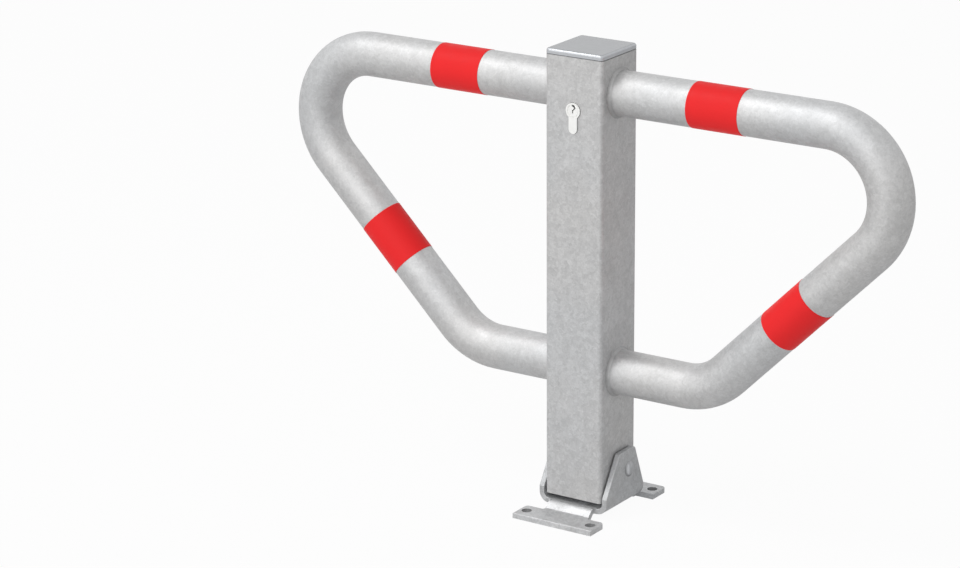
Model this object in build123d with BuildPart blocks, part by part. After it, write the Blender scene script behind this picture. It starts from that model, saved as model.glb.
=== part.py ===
from build123d import *

import os
from math import asin, degrees, radians, sin, sqrt, tan

# Folding parking barrier: a square post with two tube hoops tips backward in a folded base bracket,
# and a cylinder lock in its front face drops a rod into the bracket to hold it upright.
# Millimetres. Origin on the ground at the centre of the four foot holes, +X along the hoops,
# +Y to the back (the side it folds to), +Z up.

# Post
post_width = 70.0
post_wall = 3.0
post_corner_radius = 4.5
post_length = 485.0
post_gap = 6.0  # post's lower end above the bracket's web
seam_chamfer = 0.5  # on both edges of the joint between post and cap
vent_diameter = 14.0  # zinc drain holes behind the hoop ends

# Cap
cap_thickness = 6.0
cap_edge_radius = 2.6
skirt_depth = 8.0
skirt_wall = 2.0
skirt_clearance = 0.2

# Hoops
tube_diameter = 48.3
tube_wall = 2.6
hoop_reach = 375.0  # post centre to the outermost point
hoop_top_drop = 40.0  # upper run's centreline below the post's top
hoop_low_rise = 140.0  # lower run's centreline above the post's lower end
hoop_bend_radius = 72.0
hoop_slope = 45.0  # degrees from horizontal
weld_leg = 3.0
weld_hollow = 0.36  # middle of the bead's face, as a share of its leg

# Reflective bands
band_width = 60.0
band_film = 0.3
band_gap = 0.03

# Base bracket
sheet = 6.0
web_lift = 7.0  # underside of the web above the ground
side_clearance = 1.5  # post side to ear
ear_bend_radius = 6.0
joggle_bend_radius = 1.5
joggle_slope = 45.0  # degrees
joggle_offset = 3.2  # foot's inner edge to the foot of the joggle
foot_gap = 15.0  # post face to the foot's inner edge
foot_overhang = 14.0  # post side to the foot's end
foot_depth = 28.0
strap_inset = 8.0  # post side to the strap's side
foot_near_corner_radius = 2.0
foot_far_corner_radius = 4.5
foot_softening = 0.9
relief_radius = 2.5  # front corners between web, strap and foot
relief_notch_radius = 1.7  # notches beside the back strap
foot_hole_diameter = 11.0
foot_hole_edge = 9.0  # foot's end to the hole's centre
ear_shoulder_lift = 12.0  # above the web, where the ear's front edge starts to slope
ear_crown_front = 19.5  # crown's ends, before and behind the pivot
ear_crown_back = 11.5
ear_crown_lift = 22.0  # crown above the pivot
ear_overhang = 6.0  # ear's lower back corner behind the post's back face
ear_back_lift = 9.0  # above the web, where the ear's back edge starts to slope
ear_corner_radius = 3.5
ear_softening = 0.7

# Pivot
pivot_lift = 34.0  # above the web
pin_diameter = 16.0
pin_dome = 3.6
running_clearance = 0.1
sleeve_wall = 3.0
sleeve_end_clearance = 0.3
sleeve_rod_clearance = 0.9
heel_clearance = 1.0  # left under the post's heel as it swings past the web

# Cylinder lock
lock_drop = 56.5  # plug axis below the post's top
lock_proud = 1.5
lock_circle_diameter = 17.0
lock_web_width = 10.0
lock_height = 33.0
lock_front_length = 30.0  # face to the middle of the cam
lock_back_length = 10.0  # middle of the cam to the back end
lock_clearance = 0.3
cam_slot = 10.0
cam_reach = 15.0
cam_tip_radius = 3.0
cam_ring_diameter = 15.2
cam_swing = 60.0  # degrees, half above and half below level
cam_side_clearance = 0.3
bridge_clearance = 1.0
plug_diameter = 13.0
plug_clearance = 0.05
plug_tail_diameter = 9.0
plug_edge = 0.4
clip_thickness = 1.0
clip_depth = 1.0
clip_width = 2.6
clip_opening = 5.0
keyway_width = 1.3
keyway_hook_width = 2.0
keyway_depth = 24.0
keyway_crest = 5.3  # hook above the plug axis
keyway_foot = 2.6  # slot's foot below the plug axis
keyway_bulge = 2.2  # hook's side step
screw_diameter = 5.0
screw_head_diameter = 8.5
screw_head_height = 3.2
screw_hole_clearance = 0.25
screw_socket = 4.0
screw_socket_depth = 2.2
driver_access_diameter = 9.0

# Locking rod
rod_diameter = 12.0
rod_chamfer = 1.5
rod_lift = 2.0  # lifted rod's end above the web
rod_guide_clearance = 0.2
web_hole_clearance = 0.5
driver_thickness = 4.0
driver_arm_height = 12.0
driver_clearance = 0.35  # cam tip in the notch, each side
driver_inner = 11.0  # flag's edge beside the cylinder
driver_notch_floor = 0.6  # notch floor beyond the cam's reach
driver_back = 8.4  # steel left behind the notch
driver_crown = 6.0  # steel above the notch
driver_corner_radius = 3.0
driver_mouth_radius = 0.8
driver_floor_radius = 1.2
driver_lift_clearance = 1.5  # rod's top below the cylinder
rivet_diameter = 4.0

# Guide parts
guide_thickness = 6.0
guide_corner_radius = 2.0
guide_sleeve_clearance = 2.6  # plate's top below the sleeve
guide_heel_clearance = 0.8  # plate inside the heel bevel
bush_collar_diameter = 24.0
bush_spigot_diameter = 18.0
bush_edge = 1.0
stop_clearance = 0.3  # bush above the web when upright
carrier_sheet = 3.0
carrier_bend_radius = 1.5
carrier_side = 10.0  # side leaf's inner face from the cylinder's middle
carrier_reach = 22.0  # front leaf's other end from the cylinder's middle
carrier_margin = 6.0
carrier_travel_clearance = 2.0  # under the driver at its lowest

pick_margin = 0.1  # reach when edges and corners are picked by their place

# Worked-out sizes
post_half = post_width / 2
wall_inner = post_half - post_wall
web_top = web_lift + sheet
post_bottom = web_top + post_gap
post_top = post_bottom + post_length
pivot_z = web_top + pivot_lift
ear_inner = post_half + side_clearance
ear_outer = ear_inner + sheet
ear_crown = pivot_z + ear_crown_lift
foot_inner = post_half + foot_gap
foot_outer = foot_inner + foot_depth
foot_half_width = post_half + foot_overhang
foot_hole_x = foot_half_width - foot_hole_edge
foot_hole_y = foot_inner + foot_depth / 2
strap_half = post_half - strap_inset

tube_radius = tube_diameter / 2
hoop_top = post_top - hoop_top_drop
hoop_low = post_bottom + hoop_low_rise
outer_turn = radians(180 - hoop_slope)
outer_tangent = hoop_bend_radius * tan(outer_turn / 2)
lower_tangent = hoop_bend_radius * tan(radians(hoop_slope) / 2)
upper_run_end = hoop_reach - tube_radius - hoop_bend_radius
outer_corner = Vector(upper_run_end + outer_tangent, 0, hoop_top)
lower_corner = outer_corner - Vector((hoop_top - hoop_low) / tan(radians(hoop_slope)), 0, hoop_top - hoop_low)
slope_direction = (lower_corner - outer_corner).normalized()
slope_start = outer_corner + slope_direction * outer_tangent
slope_end = lower_corner - slope_direction * lower_tangent

lock_z = post_top - lock_drop
lock_face = -post_half - lock_proud
cam_y = lock_face + lock_front_length
lock_bottom = lock_z + lock_circle_diameter / 2 - lock_height
bridge_top = lock_z - cam_reach - bridge_clearance
screw_z = (bridge_top + lock_bottom) / 2
cam_tip_centre = cam_reach - cam_tip_radius
cam_lift = cam_tip_centre * sin(radians(cam_swing / 2))
bolt_stroke = 2 * cam_lift

rod_y = cam_y
rod_radius = rod_diameter / 2
rod_bottom = web_top + rod_lift
rod_top = lock_bottom - driver_lift_clearance
arm_bottom = rod_top - driver_arm_height
notch_z = lock_z + cam_lift
notch_half = cam_tip_radius + driver_clearance
notch_floor = cam_reach + driver_notch_floor
carrier_floor = arm_bottom - bolt_stroke - carrier_travel_clearance

sleeve_bore = pin_diameter / 2 + running_clearance
sleeve_radius = sleeve_bore + sleeve_wall
pivot_offset = rod_y + rod_radius + sleeve_rod_clearance + sleeve_radius
bend_rise = ear_bend_radius - sqrt(ear_bend_radius**2 - (ear_bend_radius - side_clearance) ** 2)
heel_swing = pivot_lift - bend_rise - heel_clearance
heel_reach = sqrt(heel_swing**2 - (pivot_lift - post_gap) ** 2)
heel_bevel = post_half - pivot_offset - heel_reach
guide_bottom = pivot_z - sleeve_radius - guide_sleeve_clearance - guide_thickness
guide_top = guide_bottom + guide_thickness


def post_outline(inset, radius, mode=Mode.ADD):
    """Rounded square of the post, moved in from its outer faces by inset."""
    RectangleRounded(post_width - 2 * inset, post_width - 2 * inset, radius, mode=mode)


def lock_outline(growth):
    """Euro profile, a circle with a straight web under it, in the post's front view."""
    web_radius = lock_web_width / 2
    web_length = lock_height - lock_circle_diameter / 2 - web_radius
    with Locations((0, lock_z)):
        Circle(lock_circle_diameter / 2 + growth)
        Rectangle(lock_web_width + 2 * growth, web_length, align=(Align.CENTER, Align.MAX))
    with Locations((0, lock_z - web_length)):
        Circle(web_radius + growth)


def finish(builder, name):
    """Label a finished piece and write it to its own file."""
    builder.part.label = name
    export_step(builder.part, f"parts/{name}.step")


os.makedirs("parts", exist_ok=True)

# Base bracket: the channel of web and ears, bent from one sheet
joggle_low = foot_inner - joggle_offset
joggle_high = joggle_low - web_lift / tan(radians(joggle_slope))
joggle_shift = sheet * tan(radians(joggle_slope) / 2)
joggle_outer_radius = joggle_bend_radius + sheet
web_half = ear_inner - ear_bend_radius
web_back = joggle_high - joggle_shift - joggle_bend_radius
channel_back = post_half + ear_overhang
core_inset = 2 * foot_softening

with BuildPart() as channel:
    with BuildSketch(Plane.XZ) as channel_section:
        with Locations((0, web_lift)):
            Rectangle(2 * ear_outer, ear_crown - web_lift, align=(Align.CENTER, Align.MIN))
        fillet(channel_section.vertices().group_by(Axis.Y)[0], ear_bend_radius + sheet)
        with Locations((0, web_top)):
            Rectangle(2 * ear_inner, ear_crown - web_top, align=(Align.CENTER, Align.MIN), mode=Mode.SUBTRACT)
        fillet(channel_section.vertices().group_by(Axis.Y)[1], ear_bend_radius)
    extrude(amount=foot_outer, both=True)
    with BuildSketch(Plane.YZ):
        with BuildLine():
            ear_edge = FilletPolyline(
                (-post_half, web_top + ear_shoulder_lift),
                (pivot_offset - ear_crown_front, ear_crown),
                (pivot_offset + ear_crown_back, ear_crown),
                (channel_back, web_top + ear_back_lift),
                radius=ear_corner_radius,
            )
            Polyline(ear_edge @ 1, (channel_back, web_lift), (-post_half, web_lift), ear_edge @ 0)
        make_face()
    extrude(amount=ear_outer, both=True, mode=Mode.INTERSECT)
    ear_edges = channel.edges().filter_by(lambda edge: abs(edge.center().X) > ear_inner - pick_margin)
    ear_rims = ear_edges.filter_by_position(Axis.Z, web_top + ear_bend_radius, ear_crown)
    fillet(ear_rims.filter_by(Axis.X, reverse=True), ear_softening)
    with BuildSketch(Plane.XY.offset(web_lift)):
        with Locations((0, web_back)):
            Rectangle(2 * web_half, channel_back - web_back, align=(Align.CENTER, Align.MIN))
    extrude(amount=sheet, mode=Mode.SUBTRACT)

# Straps and feet: the same sheet, stepped down to the ground at both ends
with BuildPart() as straps:
    with BuildSketch(Plane.YZ) as stepped_sheet:
        for end in (-1, 1):
            with BuildLine():
                upper_face = FilletPolyline(
                    (0, web_top),
                    (end * joggle_high, web_top),
                    (end * joggle_low, sheet),
                    (end * foot_outer, sheet),
                    radius=[joggle_outer_radius, joggle_bend_radius],
                )
                lower_face = FilletPolyline(
                    (0, web_lift),
                    (end * (joggle_high - joggle_shift), web_lift),
                    (end * (joggle_low - joggle_shift), 0),
                    (end * foot_outer, 0),
                    radius=[joggle_bend_radius, joggle_outer_radius],
                )
                Line(upper_face @ 0, lower_face @ 0)
                Line(upper_face @ 1, lower_face @ 1)
            make_face()
    extrude(amount=foot_half_width, both=True)
    with BuildSketch() as plan:
        Rectangle(2 * strap_half, 2 * (foot_outer - core_inset))
        with Locations((0, -post_half)):
            Rectangle(2 * web_half, post_half + web_back, align=(Align.CENTER, Align.MIN))
        with Locations((0, foot_hole_y), (0, -foot_hole_y)):
            Rectangle(2 * (foot_half_width - core_inset), foot_depth - 2 * core_inset)
        for side in (0, -1):
            core_corners = plan.vertices().group_by(Axis.X)[side].sort_by(Axis.Y)
            fillet(core_corners[1::2], foot_far_corner_radius - core_inset)
        strap_side = strap_half + pick_margin
        inner_corners = plan.vertices().filter_by_position(Axis.X, -strap_side, strap_side).sort_by(Axis.Y)
        fillet(inner_corners[:2] + inner_corners[-2:], relief_radius + core_inset)
        fillet(inner_corners[2:-4], relief_radius)
        fillet(inner_corners[-4:-2], relief_notch_radius)
    extrude(amount=web_top, mode=Mode.INTERSECT)

# Feet: their upper rims rounded, the straps' ends lie inside them
with BuildPart() as feet:
    with BuildSketch() as foot_outline:
        with Locations((0, foot_hole_y), (0, -foot_hole_y)):
            Rectangle(2 * foot_half_width, foot_depth)
        for side in (0, -1):
            foot_corners = foot_outline.vertices().group_by(Axis.X)[side].sort_by(Axis.Y)
            fillet(foot_corners[1::2], foot_far_corner_radius)
            fillet(foot_corners[0::2], foot_near_corner_radius)
    extrude(amount=sheet)
    fillet(feet.edges().group_by(Axis.Z)[-1], foot_softening)

with BuildPart() as base_bracket:
    add(channel.part)
    add(straps.part)
    add(feet.part)
    with GridLocations(2 * foot_hole_x, 2 * foot_hole_y, 2, 2):
        Hole(foot_hole_diameter / 2)
    with Locations((0, rod_y)):
        Hole(rod_diameter / 2 + web_hole_clearance)
    with BuildSketch(Plane.YZ):
        with Locations((pivot_offset, pivot_z)):
            Circle(pin_diameter / 2)
    extrude(amount=ear_outer, both=True, mode=Mode.SUBTRACT)
finish(base_bracket, "base_bracket")

# Pivot pin, its ends closed to shallow domes outside the ears
dome_radius = ((pin_diameter / 2) ** 2 + pin_dome**2) / (2 * pin_dome)

with BuildPart() as pivot_pin:
    with BuildSketch(Plane.XY.offset(pivot_z)):
        with BuildLine():
            dome = CenterArc(
                (ear_outer + pin_dome - dome_radius, pivot_offset),
                dome_radius,
                0,
                degrees(asin(pin_diameter / 2 / dome_radius)),
            )
            Polyline(dome @ 1, (0, pivot_offset + pin_diameter / 2), (0, pivot_offset), dome @ 0)
        make_face()
    revolve(axis=Axis((0, pivot_offset, pivot_z), (1, 0, 0)))
    mirror(about=Plane.YZ)
finish(pivot_pin, "pivot_pin")

# Post: square tube with the lock's cut-out, pivot holes, vents and a bevelled heel
post_inner_radius = post_corner_radius - post_wall

with BuildPart() as post_tube:
    with BuildSketch(Plane.XY.offset(post_bottom)):
        post_outline(0, post_corner_radius)
    extrude(amount=post_length)
    chamfer(post_tube.edges().group_by(Axis.Z)[-1], seam_chamfer)
    with BuildSketch(Plane.XY.offset(post_bottom)):
        post_outline(post_wall, post_inner_radius)
    extrude(amount=post_length, mode=Mode.SUBTRACT)
    with BuildSketch(Plane.YZ):
        with BuildLine():
            Polyline(
                (post_half - heel_bevel, post_bottom),
                (post_half, post_bottom + heel_bevel),
                (post_half, post_bottom),
                close=True,
            )
        make_face()
    extrude(amount=post_half, both=True, mode=Mode.SUBTRACT)
    with BuildSketch(Plane.YZ):
        with Locations((pivot_offset, pivot_z)):
            Circle(sleeve_radius)
        with Locations((0, hoop_top), (0, hoop_low)):
            Circle(vent_diameter / 2)
    extrude(amount=post_half, both=True, mode=Mode.SUBTRACT)
    with BuildSketch(Plane.YZ):
        with Locations((rod_y, screw_z)):
            Circle(driver_access_diameter / 2)
    extrude(amount=-post_half, mode=Mode.SUBTRACT)
    with BuildSketch(Plane.XZ.offset(post_half)):
        lock_outline(lock_clearance)
    extrude(amount=-post_wall, mode=Mode.SUBTRACT)
finish(post_tube, "post_tube")

# Cap: a lid with rounded top edges and a skirt that sits inside the tube
with BuildPart() as post_cap:
    with BuildSketch(Plane.XY.offset(post_top)):
        post_outline(0, post_corner_radius)
    extrude(amount=cap_thickness)
    chamfer(post_cap.edges().group_by(Axis.Z)[0], seam_chamfer)
    fillet(post_cap.edges().group_by(Axis.Z)[-1], cap_edge_radius)
    skirt_face = post_wall + skirt_clearance
    with BuildSketch(Plane.XY.offset(post_top)):
        post_outline(skirt_face, post_inner_radius)
        Rectangle(
            post_width - 2 * (skirt_face + skirt_wall),
            post_width - 2 * (skirt_face + skirt_wall),
            mode=Mode.SUBTRACT,
        )
    extrude(amount=-skirt_depth)
finish(post_cap, "post_cap")

# Hoops: one bent tube each side, butted against the post and welded round
with BuildPart() as right_hoop:
    with BuildLine() as hoop_line:
        FilletPolyline(
            (post_half, 0, hoop_top),
            outer_corner,
            lower_corner,
            (post_half, 0, hoop_low),
            radius=hoop_bend_radius,
        )
    with BuildSketch(Plane.YZ.offset(post_half)):
        with Locations((0, hoop_top)):
            Circle(tube_radius)
            Circle(tube_radius - tube_wall, mode=Mode.SUBTRACT)
    sweep()
    for level in (hoop_top, hoop_low):
        with BuildSketch(Plane.XZ):
            with BuildLine():
                tube_top = level + tube_radius
                bead_foot = (post_half, tube_top + weld_leg)
                bead_toe = (post_half + weld_leg, tube_top)
                bead_middle = (post_half + weld_hollow * weld_leg, tube_top + weld_hollow * weld_leg)
                ThreePointArc(bead_foot, bead_middle, bead_toe)
                Polyline(
                    bead_toe,
                    (post_half + weld_leg, tube_top - tube_wall / 2),
                    (post_half, tube_top - tube_wall / 2),
                    bead_foot,
                )
            make_face()
        revolve(axis=Axis((0, 0, level), (1, 0, 0)))
finish(right_hoop, "right_hoop")

with BuildPart() as left_hoop:
    mirror(right_hoop.part, about=Plane.YZ)
finish(left_hoop, "left_hoop")

# Reflective bands: film round the middle of each straight run
upper_middle = Vector((post_half + upper_run_end) / 2, 0, hoop_top)
slope_middle = (slope_start + slope_end) * 0.5
band_bore = tube_radius + band_gap

band_places = (("upper", upper_middle, Vector(1, 0, 0)), ("lower", slope_middle, slope_direction))

for run, middle, direction in band_places:
    with BuildPart() as band:
        with BuildSketch(Plane(origin=middle, x_dir=(0, 1, 0), z_dir=direction)):
            Circle(band_bore + band_film)
            Circle(band_bore, mode=Mode.SUBTRACT)
        extrude(amount=band_width / 2, both=True)
    finish(band, f"band_{run}_right")
    with BuildPart() as opposite_band:
        mirror(band.part, about=Plane.YZ)
    finish(opposite_band, f"band_{run}_left")

# Pivot sleeve: welded through the post, runs on the pin and spaces the post between the ears
with BuildPart() as pivot_sleeve:
    with BuildSketch(Plane.YZ):
        with Locations((pivot_offset, pivot_z)):
            Circle(sleeve_radius)
            Circle(sleeve_bore, mode=Mode.SUBTRACT)
    extrude(amount=ear_inner - sleeve_end_clearance, both=True)
finish(pivot_sleeve, "pivot_sleeve")

# Guide plate across the inside of the post's lower end, kept inside the heel bevel
heel_front = post_half - heel_bevel - guide_heel_clearance

with BuildPart() as guide_plate:
    with BuildSketch(Plane.XY.offset(guide_bottom)):
        RectangleRounded(2 * wall_inner, 2 * wall_inner, guide_corner_radius)
        with Locations((0, rod_y)):
            Circle(bush_spigot_diameter / 2, mode=Mode.SUBTRACT)
    extrude(amount=guide_thickness)
    with BuildSketch(Plane.YZ):
        with BuildLine():
            Polyline(
                (heel_front, post_bottom),
                (heel_front + post_half, post_bottom + post_half),
                (heel_front + post_half, post_bottom),
                close=True,
            )
        make_face()
    extrude(amount=post_half, both=True, mode=Mode.SUBTRACT)
finish(guide_plate, "guide_plate")

# Rod bush: collar under the plate, spigot through it; its end lands on the web as the upright stop
bush_bottom = web_top + stop_clearance

with BuildPart() as rod_bush:
    with BuildSketch(Plane.YZ):
        with BuildLine():
            Polyline(
                (rod_y + rod_radius + running_clearance, bush_bottom),
                (rod_y + bush_collar_diameter / 2 - bush_edge, bush_bottom),
                (rod_y + bush_collar_diameter / 2, bush_bottom + bush_edge),
                (rod_y + bush_collar_diameter / 2, guide_bottom),
                (rod_y + bush_spigot_diameter / 2, guide_bottom),
                (rod_y + bush_spigot_diameter / 2, guide_top),
                (rod_y + rod_radius + running_clearance, guide_top),
                close=True,
            )
        make_face()
    revolve(axis=Axis((0, rod_y, 0), (0, 0, 1)))
finish(rod_bush, "rod_bush")

# Lock carrier: front leaf behind the post's wall, side leaf for the screw, floor leaf for the rod
carrier_top = lock_z + lock_circle_diameter / 2 + carrier_margin
carrier_left = -carrier_side - carrier_sheet
carrier_back = rod_y + rod_radius + carrier_margin
side_leaf_top = screw_z + screw_head_diameter / 2 + carrier_margin

with BuildPart() as lock_carrier:
    with BuildSketch(Plane.YZ.offset(carrier_left)) as leaf_section:
        with BuildLine():
            Polyline(
                (-wall_inner, carrier_top),
                (-wall_inner, carrier_floor - carrier_sheet),
                (carrier_back, carrier_floor - carrier_sheet),
                (carrier_back, carrier_floor),
                (-wall_inner + carrier_sheet, carrier_floor),
                (-wall_inner + carrier_sheet, carrier_top),
                close=True,
            )
        make_face()
        outer_corner_of_bend = leaf_section.vertices().group_by(Axis.Y)[0].sort_by(Axis.X)[0]
        inner_corner_of_bend = leaf_section.vertices().group_by(Axis.Y)[1].sort_by(Axis.X)[0]
        fillet(outer_corner_of_bend, carrier_bend_radius + carrier_sheet)
        fillet(inner_corner_of_bend, carrier_bend_radius)
    extrude(amount=carrier_reach - carrier_left)
    with BuildSketch(Plane.XY.offset(carrier_floor)):
        with Locations((carrier_left, -wall_inner)):
            Rectangle(carrier_sheet, carrier_back + wall_inner, align=Align.MIN)
    extrude(amount=side_leaf_top - carrier_floor)
    with BuildSketch(Plane.XZ.offset(wall_inner)):
        lock_outline(lock_clearance)
    extrude(amount=-carrier_sheet, mode=Mode.SUBTRACT)
    with Locations((0, rod_y, carrier_floor)):
        Hole(rod_radius + rod_guide_clearance, depth=carrier_sheet)
    with BuildSketch(Plane.YZ.offset(carrier_left)):
        with Locations((rod_y, screw_z)):
            Circle(screw_diameter / 2 + screw_hole_clearance)
    extrude(amount=carrier_sheet, mode=Mode.SUBTRACT)
finish(lock_carrier, "lock_carrier")

# Lock cylinder: euro profile body with the plug's bore, the cam's slot and the screw's bridge
with BuildPart() as lock_cylinder:
    with BuildSketch(Plane.XZ.offset(-lock_face)):
        lock_outline(0)
    extrude(amount=-(lock_front_length + lock_back_length))
    with BuildSketch(Plane.XZ.offset(-lock_face)):
        with Locations((0, lock_z)):
            Circle(plug_diameter / 2 + plug_clearance)
    extrude(amount=-(lock_front_length - cam_slot / 2), mode=Mode.SUBTRACT)
    with BuildSketch(Plane.XY.offset(bridge_top)):
        with Locations((0, cam_y)):
            Rectangle(2 * cam_reach, cam_slot)
    extrude(amount=2 * cam_reach, mode=Mode.SUBTRACT)
    with BuildSketch(Plane.YZ):
        with Locations((cam_y, screw_z)):
            Circle(screw_diameter / 2)
    extrude(amount=lock_web_width, both=True, mode=Mode.SUBTRACT)
finish(lock_cylinder, "lock_cylinder")

# Fixing screw, M5, from the carrier's side leaf into the cylinder's bridge
with BuildPart() as fixing_screw:
    with BuildSketch(Plane.YZ.offset(carrier_left)):
        with Locations((cam_y, screw_z)):
            Circle(screw_diameter / 2)
    extrude(amount=lock_web_width / 2 - carrier_left)
    with BuildSketch(Plane.YZ.offset(carrier_left)):
        with Locations((cam_y, screw_z)):
            Circle(screw_head_diameter / 2)
    extrude(amount=-screw_head_height)
    with BuildSketch(Plane.YZ.offset(carrier_left - screw_head_height)):
        with Locations((cam_y, screw_z)):
            RegularPolygon(screw_socket / 2, 6, major_radius=False)
    extrude(amount=screw_socket_depth, mode=Mode.SUBTRACT)
finish(fixing_screw, "fixing_screw")

# Plug: turns in the cylinder, its tail carries the cam and the clip; keyway in its face
cam_slot_front = cam_y - cam_slot / 2
cam_back = cam_y + cam_slot / 2 - cam_side_clearance
tail_radius = plug_tail_diameter / 2
clip_groove = tail_radius - clip_depth
keyway_shift = keyway_width / 5

with BuildPart() as cylinder_plug:
    with BuildSketch(Plane.XZ.offset(-lock_face)):
        with Locations((0, lock_z)):
            Circle(plug_diameter / 2)
    extrude(amount=lock_face - cam_slot_front)
    chamfer(cylinder_plug.edges().group_by(Axis.Y)[0], plug_edge)
    with BuildSketch(Plane.XZ.offset(-cam_slot_front)):
        with Locations((0, lock_z)):
            Circle(clip_groove)
    extrude(amount=-clip_thickness)
    with BuildSketch(Plane.XZ.offset(-cam_slot_front - clip_thickness)):
        with Locations((0, lock_z)):
            Circle(tail_radius)
    extrude(amount=cam_slot_front + clip_thickness - cam_back)
    with BuildSketch(Plane.XZ.offset(-lock_face)):
        with BuildLine(mode=Mode.PRIVATE) as keyway_hook:
            hook = ThreePointArc(
                (-keyway_bulge / 2, lock_z + keyway_crest),
                (keyway_bulge / 2, lock_z + keyway_crest),
                (keyway_bulge, lock_z + keyway_crest / 2),
            )
        trace(keyway_hook.line, line_width=keyway_hook_width)
        with BuildLine(mode=Mode.PRIVATE) as keyway_stem:
            Polyline(hook @ 1, (-keyway_shift, lock_z), (-keyway_shift, lock_z - keyway_foot))
        trace(keyway_stem.line, line_width=keyway_width)
    extrude(amount=-keyway_depth, mode=Mode.SUBTRACT)
finish(cylinder_plug, "cylinder_plug")

# Cam: ring on the plug's tail with one round-ended tongue, at rest half the swing above level
with BuildPart() as lock_cam:
    with BuildSketch(Plane.XZ.offset(-cam_back)):
        with Locations((0, lock_z)):
            Circle(cam_ring_diameter / 2)
        with Locations(Location((0, lock_z, 0), (0, 0, cam_swing / 2))):
            with Locations((cam_tip_centre / 2, 0)):
                SlotCenterToCenter(cam_tip_centre, 2 * cam_tip_radius)
        with Locations((0, lock_z)):
            Circle(tail_radius, mode=Mode.SUBTRACT)
    extrude(amount=cam_back - cam_slot_front - clip_thickness - cam_side_clearance)
finish(lock_cam, "lock_cam")

# Clip: open ring in the groove of the tail, in front of the cam
with BuildPart() as cam_clip:
    with BuildSketch(Plane.XZ.offset(-cam_slot_front)):
        with Locations((0, lock_z)):
            Circle(clip_groove + clip_width)
            Circle(clip_groove, mode=Mode.SUBTRACT)
            Rectangle(
                clip_opening, clip_groove + clip_width, align=(Align.CENTER, Align.MIN), mode=Mode.SUBTRACT
            )
    extrude(amount=-clip_thickness)
finish(cam_clip, "cam_clip")

# Locking rod: slotted at the top for the driver, chamfered at the end that enters the web
arm_middle = arm_bottom + driver_arm_height / 2

with BuildPart() as locking_rod:
    with BuildSketch(Plane.XY.offset(rod_bottom)):
        with Locations((0, rod_y)):
            Circle(rod_radius)
    extrude(amount=rod_top - rod_bottom)
    chamfer(locking_rod.edges().group_by(Axis.Z)[0], rod_chamfer)
    with BuildSketch(Plane.XY.offset(arm_bottom)):
        with Locations((0, rod_y)):
            Rectangle(rod_diameter, driver_thickness)
    extrude(amount=driver_arm_height, mode=Mode.SUBTRACT)
    with BuildSketch(Plane.XZ.offset(-rod_y)):
        with Locations((0, arm_middle)):
            Circle(rivet_diameter / 2)
    extrude(amount=rod_radius, both=True, mode=Mode.SUBTRACT)
finish(locking_rod, "locking_rod")

# Driver: plate in the rod's slot, with a notch beside the cylinder that the cam's tip works in
driver_outer = notch_floor + driver_back
driver_top = notch_z + notch_half + driver_crown

with BuildPart() as driver_plate:
    with BuildSketch(Plane.XZ.offset(-rod_y)) as driver_face:
        with Locations((-rod_radius, arm_bottom)):
            Rectangle(rod_radius + driver_outer, driver_arm_height, align=Align.MIN)
        with Locations((driver_inner, arm_bottom)):
            Rectangle(driver_outer - driver_inner, driver_top - arm_bottom, align=Align.MIN)
        fillet(driver_face.vertices().group_by(Axis.Y)[-1], driver_corner_radius)
        fillet(driver_face.vertices().group_by(Axis.Y)[0].sort_by(Axis.X)[-1], driver_corner_radius)
        with Locations((driver_inner, notch_z)):
            Rectangle(2 * (notch_floor - driver_inner), 2 * notch_half, mode=Mode.SUBTRACT)
        notch_low = notch_z - notch_half - pick_margin
        notch_high = notch_z + notch_half + pick_margin
        notch_corners = driver_face.vertices().filter_by_position(Axis.Y, notch_low, notch_high)
        fillet(notch_corners.group_by(Axis.X)[-1], driver_floor_radius)
        fillet(notch_corners.group_by(Axis.X)[0], driver_mouth_radius)
        with Locations((0, arm_middle)):
            Circle(rivet_diameter / 2, mode=Mode.SUBTRACT)
    extrude(amount=driver_thickness / 2, both=True)
finish(driver_plate, "driver_plate")

# Rivet: holds the driver in the rod, its ends flush with the rod's side
with BuildPart() as driver_rivet:
    with BuildSketch(Plane.XZ.offset(-rod_y)):
        with Locations((0, arm_middle)):
            Circle(rivet_diameter / 2)
    extrude(amount=sqrt(rod_radius**2 - (rivet_diameter / 2) ** 2), both=True)
finish(driver_rivet, "driver_rivet")
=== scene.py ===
import math

import bpy
from mathutils import Matrix, Vector


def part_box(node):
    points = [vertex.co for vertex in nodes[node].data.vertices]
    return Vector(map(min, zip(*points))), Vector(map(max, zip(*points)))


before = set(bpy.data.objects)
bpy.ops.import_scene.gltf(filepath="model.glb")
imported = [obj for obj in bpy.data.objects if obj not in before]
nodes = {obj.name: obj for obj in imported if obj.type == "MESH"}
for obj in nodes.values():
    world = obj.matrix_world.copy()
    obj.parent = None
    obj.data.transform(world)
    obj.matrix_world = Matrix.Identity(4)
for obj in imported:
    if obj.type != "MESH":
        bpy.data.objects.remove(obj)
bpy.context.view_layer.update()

# Places that masks in the materials refer to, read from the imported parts, in metres
post_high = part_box("post_tube")[1]
cap_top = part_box("post_cap")[1].z
hoop_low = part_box("right_hoop")[0]
film_low, film_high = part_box("band_upper_right")
pin_low, pin_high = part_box("pivot_pin")
foot_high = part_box("base_bracket")[1]
seam_level = post_high.z
post_face = post_high.x
tube_radius = (film_high.z - film_low.z) / 2
upper_run = film_low.z + tube_radius
lower_run = hoop_low.z + tube_radius
pin_radius = (pin_high.z - pin_low.z) / 2
pin_level = pin_low.z + pin_radius
pin_depth = pin_low.y + pin_radius

# Straps that step down to the feet: half width, and the level where they leave the feet
strap_side = 0.0275
strap_foot = 0.0065

# Foot holes, measured in from the bracket's sides and ends
hole_radius = 0.0055
hole_across = foot_high.x - 0.009
hole_along = foot_high.y - 0.014

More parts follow.
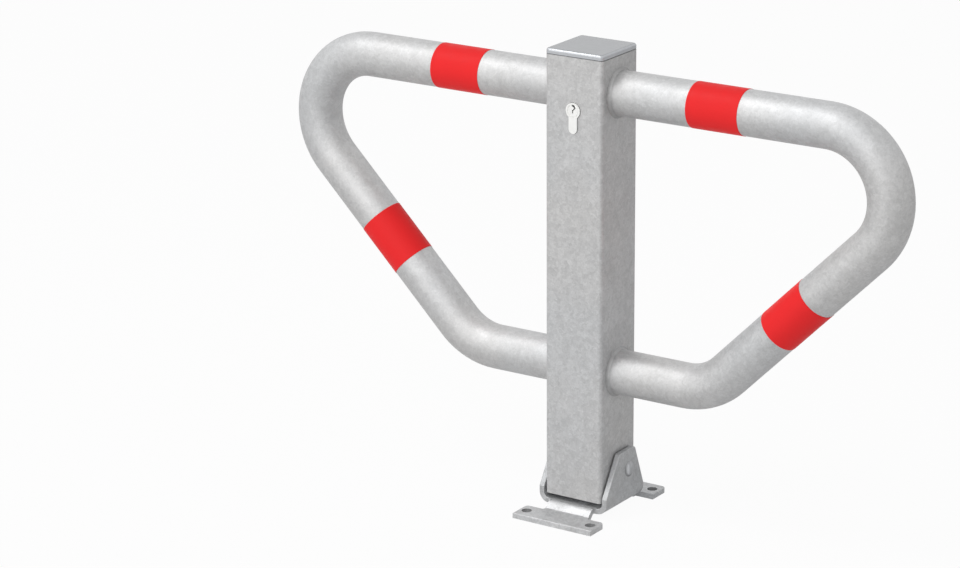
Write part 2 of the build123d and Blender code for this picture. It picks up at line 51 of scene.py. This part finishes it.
# Where each painted patch of light or shade starts and ends, in metres
seam_fade = (0.0002, 0.0008)
cap_top_fade = (cap_top - 0.0006, cap_top - 0.0001)
side_fade = (post_face - 0.0045, post_face - 0.001)
ring_fade = (0.002, 0.010)
bead_fade = (0.0, 0.006)
pin_joint_fade = (0.0004, 0.0018)
dome_fade = (-0.2 * pin_radius, -0.75 * pin_radius)
foot_fade = (0.006, 0.020)
slope_fade = (strap_foot - 0.0005, strap_foot + 0.001)
strap_fade = (strap_side, strap_side + 0.001)
hole_fade = (hole_radius, hole_radius + 0.0004)

# How much each painted patch of light or shade lightens or darkens the zinc, where 1 changes nothing
seam_painted_shade = 0.4
cap_top_painted_shade = 0.64
ring_painted_shade = 0.96
bead_painted_shade = 0.68
pin_joint_painted_shade = 0.5
dome_painted_highlight = 1.5
foot_painted_light = 1.1
ear_painted_shade = 0.97
slope_painted_highlight = 1.1
hole_painted_shade = 0.6

# Levels of the studio, where 1 is white
background_glow = 0.95
mirrored_floor = 0.42
ambient_level = 0.40

# Camera found by fitting the model's outline to the photograph: metres, degrees and pixels
camera_spot = Vector((1.83424, -2.94418, 1.34947))
camera_yaw = 33.861
camera_pitch = 17.579
camera_roll = -0.389
focal_pixels = 3434.31
photo_width_pixels = 960


class Shader:
    """One material's node tree, with short calls for the nodes used here."""

    def __init__(self, name):
        self.material = bpy.data.materials.new(name)
        self.material.use_nodes = True
        self.tree = self.material.node_tree
        self.surface = self.tree.nodes["Principled BSDF"]
        self.place = self.add("ShaderNodeTexCoord").outputs["Object"]

    def add(self, kind, inputs=None, **settings):
        node = self.tree.nodes.new(kind)
        for key, value in settings.items():
            setattr(node, key, value)
        for key, value in (inputs or {}).items():
            self.feed(value, node.inputs[key])
        return node

    def feed(self, value, socket):
        if isinstance(value, bpy.types.NodeSocket):
            self.tree.links.new(value, socket)
        else:
            socket.default_value = value

    def give(self, name, value):
        """Feeds one of the surface's own sockets."""
        self.feed(value, self.surface.inputs[name])

    def math(self, operation, first, second=0.0):
        return self.add("ShaderNodeMath", {0: first, 1: second}, operation=operation).outputs[0]

    def plus(self, first, second):
        return self.math("ADD", first, second)

    def minus(self, first, second):
        return self.math("SUBTRACT", first, second)

    def times(self, first, second):
        return self.math("MULTIPLY", first, second)

    def unsigned(self, value):
        return self.math("ABSOLUTE", value)

    def spread(self, value, low, high):
        """Maps 0..1 to low..high."""
        inputs = {"Value": value, "To Min": low, "To Max": high}
        return self.add("ShaderNodeMapRange", inputs).outputs["Result"]

    def around(self, value, middle, depth):
        """Maps 0..1 to as far as depth below and above the middle."""
        return self.spread(value, middle - depth, middle + depth)

    def window(self, value, start, end):
        """0 up to start, 1 from end, smooth between them."""
        inputs = {"Value": value, "From Min": start, "From Max": end}
        return self.add("ShaderNodeMapRange", inputs, interpolation_type="SMOOTHSTEP").outputs["Result"]

    def within(self, value, start, end):
        """1 up to start, 0 from end, smooth between them."""
        return self.minus(1.0, self.window(value, start, end))

    def noise(self, scale, detail=3.0, roughness=0.5, distortion=0.0, place=None):
        """Noise with scale features to the metre, or to the unit of a place that is given."""
        inputs = {
            "Vector": place or self.place, "Scale": scale, "Detail": detail,
            "Roughness": roughness, "Distortion": distortion,
        }
        return self.add("ShaderNodeTexNoise", inputs).outputs["Fac"]

    def crystals(self, scale, channel, place):
        """A random value for each cell of a Voronoi pattern."""
        cells = self.add("ShaderNodeTexVoronoi", {"Vector": place, "Scale": scale}).outputs["Color"]
        return self.add("ShaderNodeSeparateColor", {"Color": cells}).outputs[channel]

    def stretched(self, x, y, z):
        """Object coordinates scaled by axis, for marks that run along a piece."""
        return self.add("ShaderNodeMapping", {"Vector": self.place, "Scale": (x, y, z)}).outputs["Vector"]

    def warped(self, scale, reach):
        """Object coordinates pushed about by a coloured noise, so that cells get uneven edges."""
        push = self.add("ShaderNodeTexNoise", {"Vector": self.place, "Scale": scale, "Detail": 2.0})
        inputs = {0: push.outputs["Color"], "Scale": reach}
        step = self.add("ShaderNodeVectorMath", inputs, operation="SCALE").outputs["Vector"]
        inputs = {0: self.place, 1: step}
        return self.add("ShaderNodeVectorMath", inputs, operation="ADD").outputs["Vector"]

    def axes(self):
        return self.add("ShaderNodeSeparateXYZ", {"Vector": self.place}).outputs

    def tint(self, color, value):
        """A colour made lighter or darker by value, where 1 leaves it."""
        scaled = self.add("ShaderNodeVectorMath", {0: color, "Scale": value}, operation="SCALE")
        return scaled.outputs["Vector"]

    def blend(self, share, first, second):
        """From the first colour at 0 to the second at 1."""
        node = self.add("ShaderNodeMix", {"Factor": share}, data_type="VECTOR")
        self.feed(first, node.inputs["A"])
        self.feed(second, node.inputs["B"])
        return node.outputs["Result"]

    def apart(self, first, second):
        """Length of a step with these two parts."""
        return self.math("SQRT", self.plus(self.times(first, first), self.times(second, second)))

    def bump(self, height, strength, distance):
        inputs = {"Height": height, "Strength": strength, "Distance": distance}
        self.give("Normal", self.add("ShaderNodeBump", inputs).outputs["Normal"])


def color(red, green, blue):
    """An sRGB colour, 0 to 255, as the linear colour a shader takes."""
    def linear(part):
        part /= 255
        return part / 12.92 if part <= 0.04045 else ((part + 0.055) / 1.055) ** 2.4
    return (linear(red), linear(green), linear(blue))


def galvanised(name, base, cloud_depth, roughness, rough_depth, metal, spangle, dents, shade=None):
    """Zinc with drifting clouds, a fine spangle of crystals, specks and a slightly uneven skin."""
    s = Shader(name)
    uneven = s.warped(120.0, 0.009)
    small_crystal = s.crystals(290.0, "Red", uneven)
    large_crystal = s.crystals(120.0, "Green", uneven)
    drift = s.window(s.noise(7.0, detail=2.0), 0.35, 0.65)
    clouds = s.window(s.noise(46.0, detail=5.0, roughness=0.6, distortion=0.4), 0.3, 0.7)
    grain = s.window(s.noise(520.0, detail=3.0, roughness=0.6), 0.3, 0.7)
    specks = s.window(s.noise(420.0, detail=1.0), 0.66, 0.74)

    value = s.around(clouds, 1.0, cloud_depth)
    value = s.times(value, s.around(small_crystal, 1.0, 0.08 * spangle))
    value = s.times(value, s.around(large_crystal, 1.0, 0.035 * spangle))
    value = s.times(value, s.around(grain, 1.0, 0.06 * spangle))
    value = s.minus(value, s.times(specks, 0.06 * spangle))
    if shade:
        value = s.times(value, shade(s))
    cool = (base[0] * 0.991, base[1], base[2] * 1.012)
    warm = (base[0] * 1.005, base[1], base[2] * 0.997)
    s.give("Base Color", s.tint(s.blend(drift, cool, warm), value))

    rough = s.spread(clouds, roughness + rough_depth, roughness - rough_depth)
    s.give("Roughness", s.plus(rough, s.around(small_crystal, 0.0, 0.04 * spangle)))
    s.give("Metallic", metal)

    waves = s.times(s.noise(40.0, detail=2.0), 0.25)
    ripples = s.times(s.noise(230.0, detail=4.0, roughness=0.6), 0.6)
    facets = s.times(small_crystal, 0.04)
    s.bump(s.plus(s.plus(waves, ripples), facets), dents, 0.0009)
    return s.material


def seam_shade(s):
    """Painted shade in the joint between the cap and the post."""
    off = s.unsigned(s.minus(s.axes()["Z"], seam_level))
    return s.spread(s.window(off, *seam_fade), seam_painted_shade, 1.0)


def cap_shade(s):
    """The seam's painted shade, and painted shade on the flat top that sets off the rim's highlight."""
    top = s.window(s.axes()["Z"], *cap_top_fade)
    return s.times(seam_shade(s), s.spread(top, 1.0, cap_top_painted_shade))


def post_shade(s):
    """The seam's painted shade, and painted shade on the post's sides round the four hoop ends."""
    result = seam_shade(s)
    xyz = s.axes()
    outside = s.window(s.unsigned(xyz["X"]), *side_fade)
    for level in (upper_run, lower_run):
        off = s.minus(s.apart(s.minus(xyz["Z"], level), xyz["Y"]), tube_radius)
        ring = s.times(s.within(off, *ring_fade), outside)
        result = s.times(result, s.spread(ring, 1.0, ring_painted_shade))
    return result


def hoop_shade(s):
    """Painted shade on the weld beads beside the post."""
    away = s.minus(s.unsigned(s.axes()["X"]), post_face)
    return s.spread(s.window(away, *bead_fade), bead_painted_shade, 1.0)


def pin_shade(s):
    """Painted shade in the lower front half of the joint between the pin's heads and the ears."""
    xyz = s.axes()
    rise = s.minus(xyz["Z"], pin_level)
    back = s.minus(xyz["Y"], pin_depth)
    off = s.unsigned(s.minus(s.apart(rise, back), pin_radius))
    low_front = s.window(s.plus(rise, back), pin_radius, -pin_radius)
    joint = s.times(s.within(off, *pin_joint_fade), low_front)
    return s.spread(joint, 1.0, pin_joint_painted_shade)


def head_shade(s):
    """The pin joint's painted shade, and a painted highlight on the front of its domes."""
    front = s.window(s.minus(s.axes()["Y"], pin_depth), *dome_fade)
    return s.times(pin_shade(s), s.spread(front, 1.0, dome_painted_highlight))


def base_shade(s):
    """Painted shade inside the foot holes and round the pin, painted light on the feet, painted shade up
    the ears and a painted highlight on the straps' slopes.
    """
    xyz = s.axes()
    across = s.unsigned(xyz["X"])
    along = s.unsigned(xyz["Y"])
    rise = s.spread(s.window(xyz["Z"], *foot_fade), foot_painted_light, ear_painted_shade)
    # painted highlight on the straps' slopes
    slope = s.times(s.window(xyz["Z"], *slope_fade), s.within(across, *strap_fade))
    # painted shade inside the foot holes
    from_hole = s.apart(s.minus(across, hole_across), s.minus(along, hole_along))
    hole = s.spread(s.window(from_hole, *hole_fade), hole_painted_shade, 1.0)
    result = s.times(pin_shade(s), rise)
    result = s.times(result, s.spread(slope, 1.0, slope_painted_highlight))
    return s.times(result, hole)


def film_material():
    """Red reflective film: satin face, tiny beads under it, faint rubs."""
    s = Shader("red_film")
    beads = s.add("ShaderNodeTexVoronoi", {"Vector": s.place, "Scale": 1500.0}).outputs["Distance"]
    rub = s.noise(70.0, detail=4.0, roughness=0.6)
    value = s.times(s.spread(beads, 1.02, 0.97), s.around(rub, 1.0, 0.03))
    s.give("Base Color", s.tint(color(245, 46, 48), value))
    s.give("Roughness", s.spread(s.window(rub, 0.35, 0.7), 0.42, 0.54))
    s.give("Specular IOR Level", 0.12)
    s.bump(s.plus(s.times(beads, 0.15), rub), 0.12, 0.0004)
    return s.material


def nickel_material():
    """Satin nickel, brushed across the cylinder's face, with handling marks."""
    s = Shader("satin_nickel")
    brushed = s.noise(900.0, detail=2.0, place=s.stretched(1.0, 0.2, 3.0))
    marks = s.noise(160.0, detail=4.0, roughness=0.65)
    value = s.times(s.around(brushed, 1.0, 0.02), s.around(marks, 1.0, 0.03))
    s.give("Base Color", s.tint(color(249, 249, 247), value))
    s.give("Roughness", s.plus(s.spread(marks, 0.26, 0.4), s.around(brushed, 0.0, 0.04)))
    s.give("Metallic", 0.75)
    s.bump(brushed, 0.08, 0.0002)
    return s.material


def plated_material():
    """Bright zinc plate on turned and pressed small parts."""
    s = Shader("plated_steel")
    turned = s.noise(700.0, detail=2.0, place=s.stretched(0.3, 0.3, 2.5))
    marks = s.noise(120.0, detail=4.0, roughness=0.6)
    value = s.times(s.around(turned, 1.0, 0.04), s.around(marks, 1.0, 0.05))
    s.give("Base Color", s.tint(color(198, 200, 206), value))
    s.give("Roughness", s.plus(s.spread(marks, 0.24, 0.38), s.around(turned, 0.0, 0.05)))
    s.give("Metallic", 0.95)
    s.bump(turned, 0.1, 0.0003)
    return s.material


post_zinc = galvanised(
    "zinc_post", color(197, 197, 197), cloud_depth=0.03, roughness=0.48, rough_depth=0.04,
    metal=0.35, spangle=0.95, dents=0.44, shade=post_shade,
)
cap_zinc = galvanised(
    "zinc_cap", color(193, 196, 200), cloud_depth=0.015, roughness=0.24, rough_depth=0.015,
    metal=0.5, spangle=0.25, dents=0.03, shade=cap_shade,
)
hoop_zinc = galvanised(
    "zinc_hoop", color(198, 198, 198), cloud_depth=0.02, roughness=0.55, rough_depth=0.02,
    metal=0.65, spangle=0.8, dents=0.4, shade=hoop_shade,
)
base_zinc = galvanised(
    "zinc_base", color(191, 192, 193), cloud_depth=0.04, roughness=0.46, rough_depth=0.05,
    metal=0.35, spangle=1.1, dents=0.44, shade=base_shade,
)
pin_zinc = galvanised(
    "zinc_pin", color(182, 183, 185), cloud_depth=0.03, roughness=0.36, rough_depth=0.05,
    metal=0.3, spangle=0.7, dents=0.2, shade=head_shade,
)
inner_zinc = galvanised(
    "zinc_inner", color(176, 178, 180), cloud_depth=0.05, roughness=0.5, rough_depth=0.05,
    metal=0.45, spangle=1.0, dents=0.4,
)
film = film_material()
nickel = nickel_material()
plated = plated_material()

finishes = {
    post_zinc: ("post_tube",),
    cap_zinc: ("post_cap",),
    hoop_zinc: ("left_hoop", "right_hoop"),
    base_zinc: ("base_bracket",),
    pin_zinc: ("pivot_pin",),
    inner_zinc: ("pivot_sleeve", "guide_plate", "lock_carrier"),
    film: ("band_upper_left", "band_upper_right", "band_lower_left", "band_lower_right"),
    nickel: ("lock_cylinder", "cylinder_plug"),
    plated: (
        "rod_bush", "fixing_screw", "lock_cam", "cam_clip", "locking_rod", "driver_plate",
        "driver_rivet",
    ),
}
for material, names in finishes.items():
    for name in names:
        for slot in nodes[name].material_slots:
            slot.material = material


def seen_rays(tree, mirrored):
    """1 for camera and transmission rays, which show a background, and mirrored for glossy ones."""
    def joined(operation, first, second):
        node = tree.nodes.new("ShaderNodeMath")
        node.operation = operation
        tree.links.new(first, node.inputs[0])
        if isinstance(second, bpy.types.NodeSocket):
            tree.links.new(second, node.inputs[1])
        else:
            node.inputs[1].default_value = second
        return node.outputs[0]

    path = tree.nodes.new("ShaderNodeLightPath").outputs
    through = joined("MAXIMUM", path["Is Camera Ray"], path["Is Transmission Ray"])
    return joined("MAXIMUM", through, joined("MULTIPLY", path["Is Glossy Ray"], mirrored))


def floor_material():
    """Plain white floor that still takes the object's soft shadow."""
    material = bpy.data.materials.new("studio_floor")
    material.use_nodes = True
    tree = material.node_tree
    matt = tree.nodes["Principled BSDF"]
    matt.inputs["Base Color"].default_value = (0.8, 0.8, 0.8, 1.0)
    matt.inputs["Roughness"].default_value = 1.0
    matt.inputs["Specular IOR Level"].default_value = 0.0
    glow = tree.nodes.new("ShaderNodeEmission")
    share = tree.nodes.new("ShaderNodeMath")
    share.operation = "MULTIPLY"
    share.inputs[1].default_value = background_glow
    mixed = tree.nodes.new("ShaderNodeMixShader")
    tree.links.new(seen_rays(tree, mirrored_floor), share.inputs[0])
    tree.links.new(share.outputs[0], mixed.inputs[0])
    tree.links.new(matt.outputs[0], mixed.inputs[1])
    tree.links.new(glow.outputs[0], mixed.inputs[2])
    tree.links.new(mixed.outputs[0], tree.nodes["Material Output"].inputs["Surface"])
    return material


floor_half = 30.0
floor_mesh = bpy.data.meshes.new("studio_floor")
corners = [(x * floor_half, y * floor_half, 0.0) for x, y in ((-1, -1), (1, -1), (1, 1), (-1, 1))]
floor_mesh.from_pydata(corners, [], [(0, 1, 2, 3)])
floor = bpy.data.objects.new("studio_floor", floor_mesh)
floor.data.materials.append(floor_material())
bpy.context.scene.collection.objects.link(floor)

world = bpy.data.worlds.new("studio")
bpy.context.scene.world = world
world.use_nodes = True
sky = world.node_tree.nodes["Background"]
sky.inputs["Color"].default_value = (1.0, 1.0, 1.0, 1.0)
ambient = world.node_tree.nodes.new("ShaderNodeMapRange")
ambient.inputs["To Min"].default_value = ambient_level
ambient.inputs["To Max"].default_value = 1.0
world.node_tree.links.new(seen_rays(world.node_tree, 1.0), ambient.inputs["Value"])
world.node_tree.links.new(ambient.outputs["Result"], sky.inputs["Strength"])


def softbox(name, direction, distance, size, level):
    """Square area light aimed at the object; level 1 lights a facing white surface to white."""
    aim = Vector((0.0, 0.0, 0.26))
    light = bpy.data.lights.new(name, "AREA")
    light.shape = "SQUARE"
    light.size = size
    light.energy = level * math.pi ** 2 * distance ** 2
    lamp = bpy.data.objects.new(name, light)
    towards = Vector(direction).normalized()
    lamp.location = aim + towards * distance
    lamp.rotation_euler = towards.to_track_quat("Z", "Y").to_euler()
    lamp.visible_camera = False
    bpy.context.scene.collection.objects.link(lamp)


softbox("front_fill", direction=(-0.12, -0.88, 0.45), distance=3.5, size=3.8, level=0.42)
softbox("top_left_key", direction=(-0.40, -0.37, 0.84), distance=6.0, size=2.2, level=0.275)


def place_camera():
    """A camera with the photograph's place, turn and framing."""
    yaw, pitch, roll = (math.radians(turn) for turn in (camera_yaw, camera_pitch, camera_roll))
    back = Vector((math.sin(yaw) * math.cos(pitch), -math.cos(yaw) * math.cos(pitch), math.sin(pitch)))
    level_right = Vector((math.cos(yaw), math.sin(yaw), 0.0))
    level_up = back.cross(level_right)
    right = math.cos(roll) * level_right + math.sin(roll) * level_up
    up = math.cos(roll) * level_up - math.sin(roll) * level_right
    data = bpy.data.cameras.new("camera")
    data.sensor_width = 36.0
    data.lens = focal_pixels / photo_width_pixels * data.sensor_width
    data.clip_start, data.clip_end = 0.05, 100.0
    camera = bpy.data.objects.new("camera", data)
    turned = Matrix((right, up, back)).transposed().to_4x4()
    camera.matrix_world = Matrix.Translation(camera_spot) @ turned
    bpy.context.scene.collection.objects.link(camera)
    bpy.context.scene.camera = camera


place_camera()
bpy.context.scene.view_settings.view_transform = "Standard"
